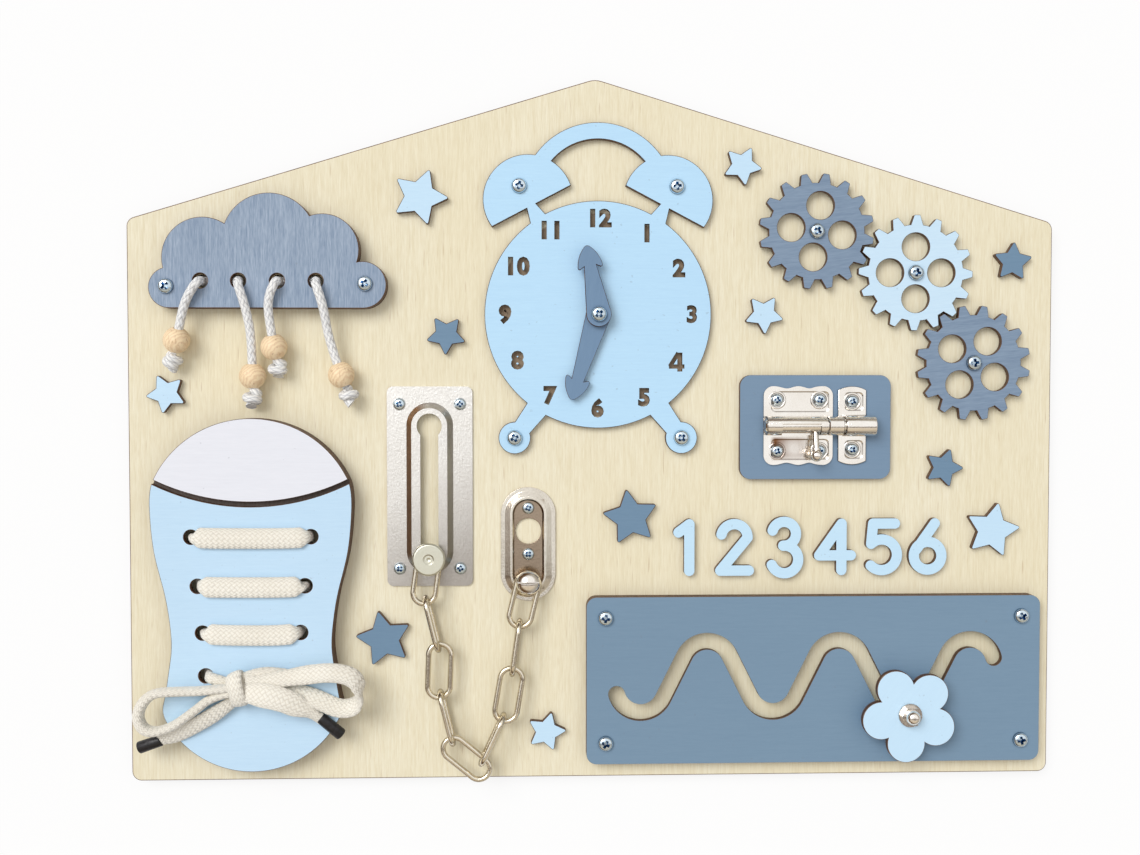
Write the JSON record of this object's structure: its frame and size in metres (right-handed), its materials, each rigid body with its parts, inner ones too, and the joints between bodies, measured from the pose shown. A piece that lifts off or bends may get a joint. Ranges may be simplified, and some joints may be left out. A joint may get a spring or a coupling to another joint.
{
  "type": "wooden busy board",
  "caption": "House-shaped plywood activity board with clock, meshing gears, barrel bolt, door chain, lace-up shoe, pull cords and a flower that follows a wavy slot",
  "frame": {"origin": "middle of the board's flat back face", "axes": "+X to the right along the board's long side, +Y towards the roof's apex, +Z out of the face"},
  "size_m": [0.5, 0.3774, 0.0363],
  "materials": {
    "birch_plywood": "bare, fine sanded",
    "blue_plywood": "painted light blue, satin",
    "grey_plywood": "painted grey blue, satin",
    "white_plywood": "painted white, satin",
    "beech": "bare, fine sanded",
    "white_braid": "braided polyester",
    "white_lace": "flat woven",
    "black_plastic": "heat-shrunk tube",
    "zinc_steel": "zinc plated",
    "nickel": "bright nickel plated",
    "satin_steel": "satin nickel plated",
    "nickel_chain": "bright nickel plated"
  },
  "bodies": {
    "board": {"back_board": "birch_plywood", "cloud_spacer": "birch_plywood", "shoe_spacer": "birch_plywood", "wave_spacer": "birch_plywood", "shoe_plate": "blue_plywood", "clock_face": "blue_plywood", "blue_stars": "blue_plywood", "numerals": "blue_plywood", "cloud_plate": "grey_plywood", "latch_panel": "grey_plywood", "wave_panel": "grey_plywood", "grey_stars": "grey_plywood", "shoe_toe_cap": "white_plywood", "wooden_beads": "beech", "pull_cord_left": "white_braid", "pull_cord_right": "white_braid", "cord_knots": "white_braid", "shoe_lace": "white_lace", "lace_loop_left": "white_lace", "lace_loop_right": "white_lace", "lace_tail_left": "white_lace", "lace_tail_right": "white_lace", "lace_knot": "white_lace", "lace_aglets": "black_plastic", "pivot_screws": "zinc_steel", "panel_screws": "zinc_steel", "fitting_screws": "zinc_steel", "pivot_washers": "zinc_steel", "latch_base": "nickel", "latch_keeper": "nickel", "stud_plate": "nickel", "chain_stud": "nickel", "slide_plate": "satin_steel"},
    "minute_hand": {"minute_hand": "grey_plywood"},
    "hour_hand": {"hour_hand": "grey_plywood"},
    "gear_1": {"gear_1": "grey_plywood"},
    "gear_2": {"gear_2": "blue_plywood"},
    "gear_3": {"gear_3": "grey_plywood"},
    "latch_rod": {"latch_rod": "nickel"},
    "latch_peg": {"latch_peg": "nickel"},
    "flower_carriage": {"flower_bolt": "nickel", "flower_sleeve": "nickel", "flower_nut": "nickel"},
    "flower": {"flower": "blue_plywood"},
    "chain_knob": {"chain_knob": "nickel"},
    "chain_link_1": {"chain_link_1": "nickel_chain"},
    "chain_link_2": {"chain_link_2": "nickel_chain"},
    "chain_link_3": {"chain_link_3": "nickel_chain"},
    "chain_link_4": {"chain_link_4": "nickel_chain"},
    "chain_link_5": {"chain_link_5": "nickel_chain"},
    "chain_link_6": {"chain_link_6": "nickel_chain"},
    "chain_link_7": {"chain_link_7": "nickel_chain"},
    "chain_link_8": {"chain_link_8": "nickel_chain"},
    "chain_link_9": {"chain_link_9": "nickel_chain"}
  },
  "joints": [
    {"name": "minute_hand_turn", "type": "hinge", "parent": "board", "child": "minute_hand", "pos_m": [0.0015, 0.0626, 0.015], "axis": [0, 0, 1], "continuous": true},
    {"name": "hour_hand_turn", "type": "hinge", "parent": "board", "child": "hour_hand", "pos_m": [0.0015, 0.0626, 0.018], "axis": [0, 0, 1], "continuous": true},
    {"name": "gear_2_turn", "type": "hinge", "parent": "board", "child": "gear_2", "pos_m": [0.17324, 0.08548, 0.0125], "axis": [0, 0, 1], "continuous": true},
    {"name": "gear_1_turn", "type": "hinge", "parent": "board", "child": "gear_1", "pos_m": [0.1193, 0.1076, 0.0125], "axis": [0, 0, 1], "continuous": true},
    {"name": "gear_3_turn", "type": "hinge", "parent": "board", "child": "gear_3", "pos_m": [0.20533, 0.03681, 0.0125], "axis": [0, 0, 1], "continuous": true},
    {"name": "latch_rod_slide", "type": "slide", "parent": "board", "child": "latch_rod", "axis": [-1, 0, 0], "range_m": [0, 0.014]},
    {"name": "latch_peg_lift", "type": "hinge", "parent": "latch_rod", "child": "latch_peg", "pos_m": [0.1179, 0.0029, 0.0187], "axis": [-1, 0, 0], "range_deg": [0, 45]},
    {"name": "flower_swing", "type": "hinge", "parent": "board", "child": "flower_carriage", "pos_m": [0.1682, -0.1386, 0.014], "axis": [0, 0, 1], "range_deg": [-60, 60]},
    {"name": "flower_turn", "type": "hinge", "parent": "flower_carriage", "child": "flower", "pos_m": [0.1682, -0.1521, 0.025], "axis": [0, 0, 1], "continuous": true},
    {"name": "chain_knob_slide", "type": "slide", "parent": "board", "child": "chain_knob", "axis": [0, 1, 0], "range_m": [0, 0.015]},
    {"name": "chain_link_1_turn", "type": "hinge", "parent": "board", "child": "chain_link_1", "pos_m": [-0.0362, -0.081, 0.0181], "axis": [0, 0, 1], "range_deg": [-0.2, 2.25]},
    {"name": "chain_link_2_turn", "type": "hinge", "parent": "chain_link_1", "child": "chain_link_2", "pos_m": [-0.04047, -0.09879, 0.0181], "axis": [0, 0, 1], "range_deg": [-24.51, 0.2]},
    {"name": "chain_link_3_turn", "type": "hinge", "parent": "chain_link_2", "child": "chain_link_3", "pos_m": [-0.04541, -0.13304, 0.0181], "axis": [0, 0, 1], "range_deg": [-0.2, 11.4]},
    {"name": "chain_link_4_turn", "type": "hinge", "parent": "chain_link_3", "child": "chain_link_4", "pos_m": [-0.04827, -0.1498, 0.0181], "axis": [0, 0, 1], "range_deg": [-11.13, 0.2]},
    {"name": "chain_link_5_turn", "type": "hinge", "parent": "chain_link_4", "child": "chain_link_5", "pos_m": [-0.06295, -0.18113, 0.0181], "axis": [0, 0, 1], "range_deg": [-0.2, 5.02]},
    {"name": "chain_link_6_turn", "type": "hinge", "parent": "chain_link_5", "child": "chain_link_6", "pos_m": [-0.07607, -0.17032, 0.0181], "axis": [0, 0, 1], "range_deg": [-2.25, 0.2]},
    {"name": "chain_link_7_turn", "type": "hinge", "parent": "chain_link_6", "child": "chain_link_7", "pos_m": [-0.0842, -0.13669, 0.0181], "axis": [0, 0, 1], "range_deg": [-0.2, 36.04]},
    {"name": "chain_link_8_turn", "type": "hinge", "parent": "chain_link_7", "child": "chain_link_8", "pos_m": [-0.08358, -0.1197, 0.0181], "axis": [0, 0, 1], "range_deg": [-32.38, 0.2]},
    {"name": "chain_link_9_turn", "type": "hinge", "parent": "chain_link_8", "child": "chain_link_9", "pos_m": [-0.09183, -0.0861, 0.0181], "axis": [0, 0, 1], "range_deg": [-7.72, 0.2]}
  ],
  "couplings": [
    {"joint": "gear_1_turn", "follows": "gear_2_turn", "ratio": -1},
    {"joint": "gear_3_turn", "follows": "gear_2_turn", "ratio": -1},
    {"joint": "chain_link_1_turn", "follows": "chain_knob_slide", "rad_per_m": 2.3333},
    {"joint": "chain_link_2_turn", "follows": "chain_knob_slide", "rad_per_m": -27.728},
    {"joint": "chain_link_3_turn", "follows": "chain_knob_slide", "rad_per_m": 12.771},
    {"joint": "chain_link_4_turn", "follows": "chain_knob_slide", "rad_per_m": -12.474},
    {"joint": "chain_link_5_turn", "follows": "chain_knob_slide", "rad_per_m": 5.4983},
    {"joint": "chain_link_6_turn", "follows": "chain_knob_slide", "rad_per_m": -2.3333},
    {"joint": "chain_link_7_turn", "follows": "chain_knob_slide", "rad_per_m": 40.881},
    {"joint": "chain_link_8_turn", "follows": "chain_knob_slide", "rad_per_m": -36.703},
    {"joint": "chain_link_9_turn", "follows": "chain_knob_slide", "rad_per_m": -8.5772}
  ]
}
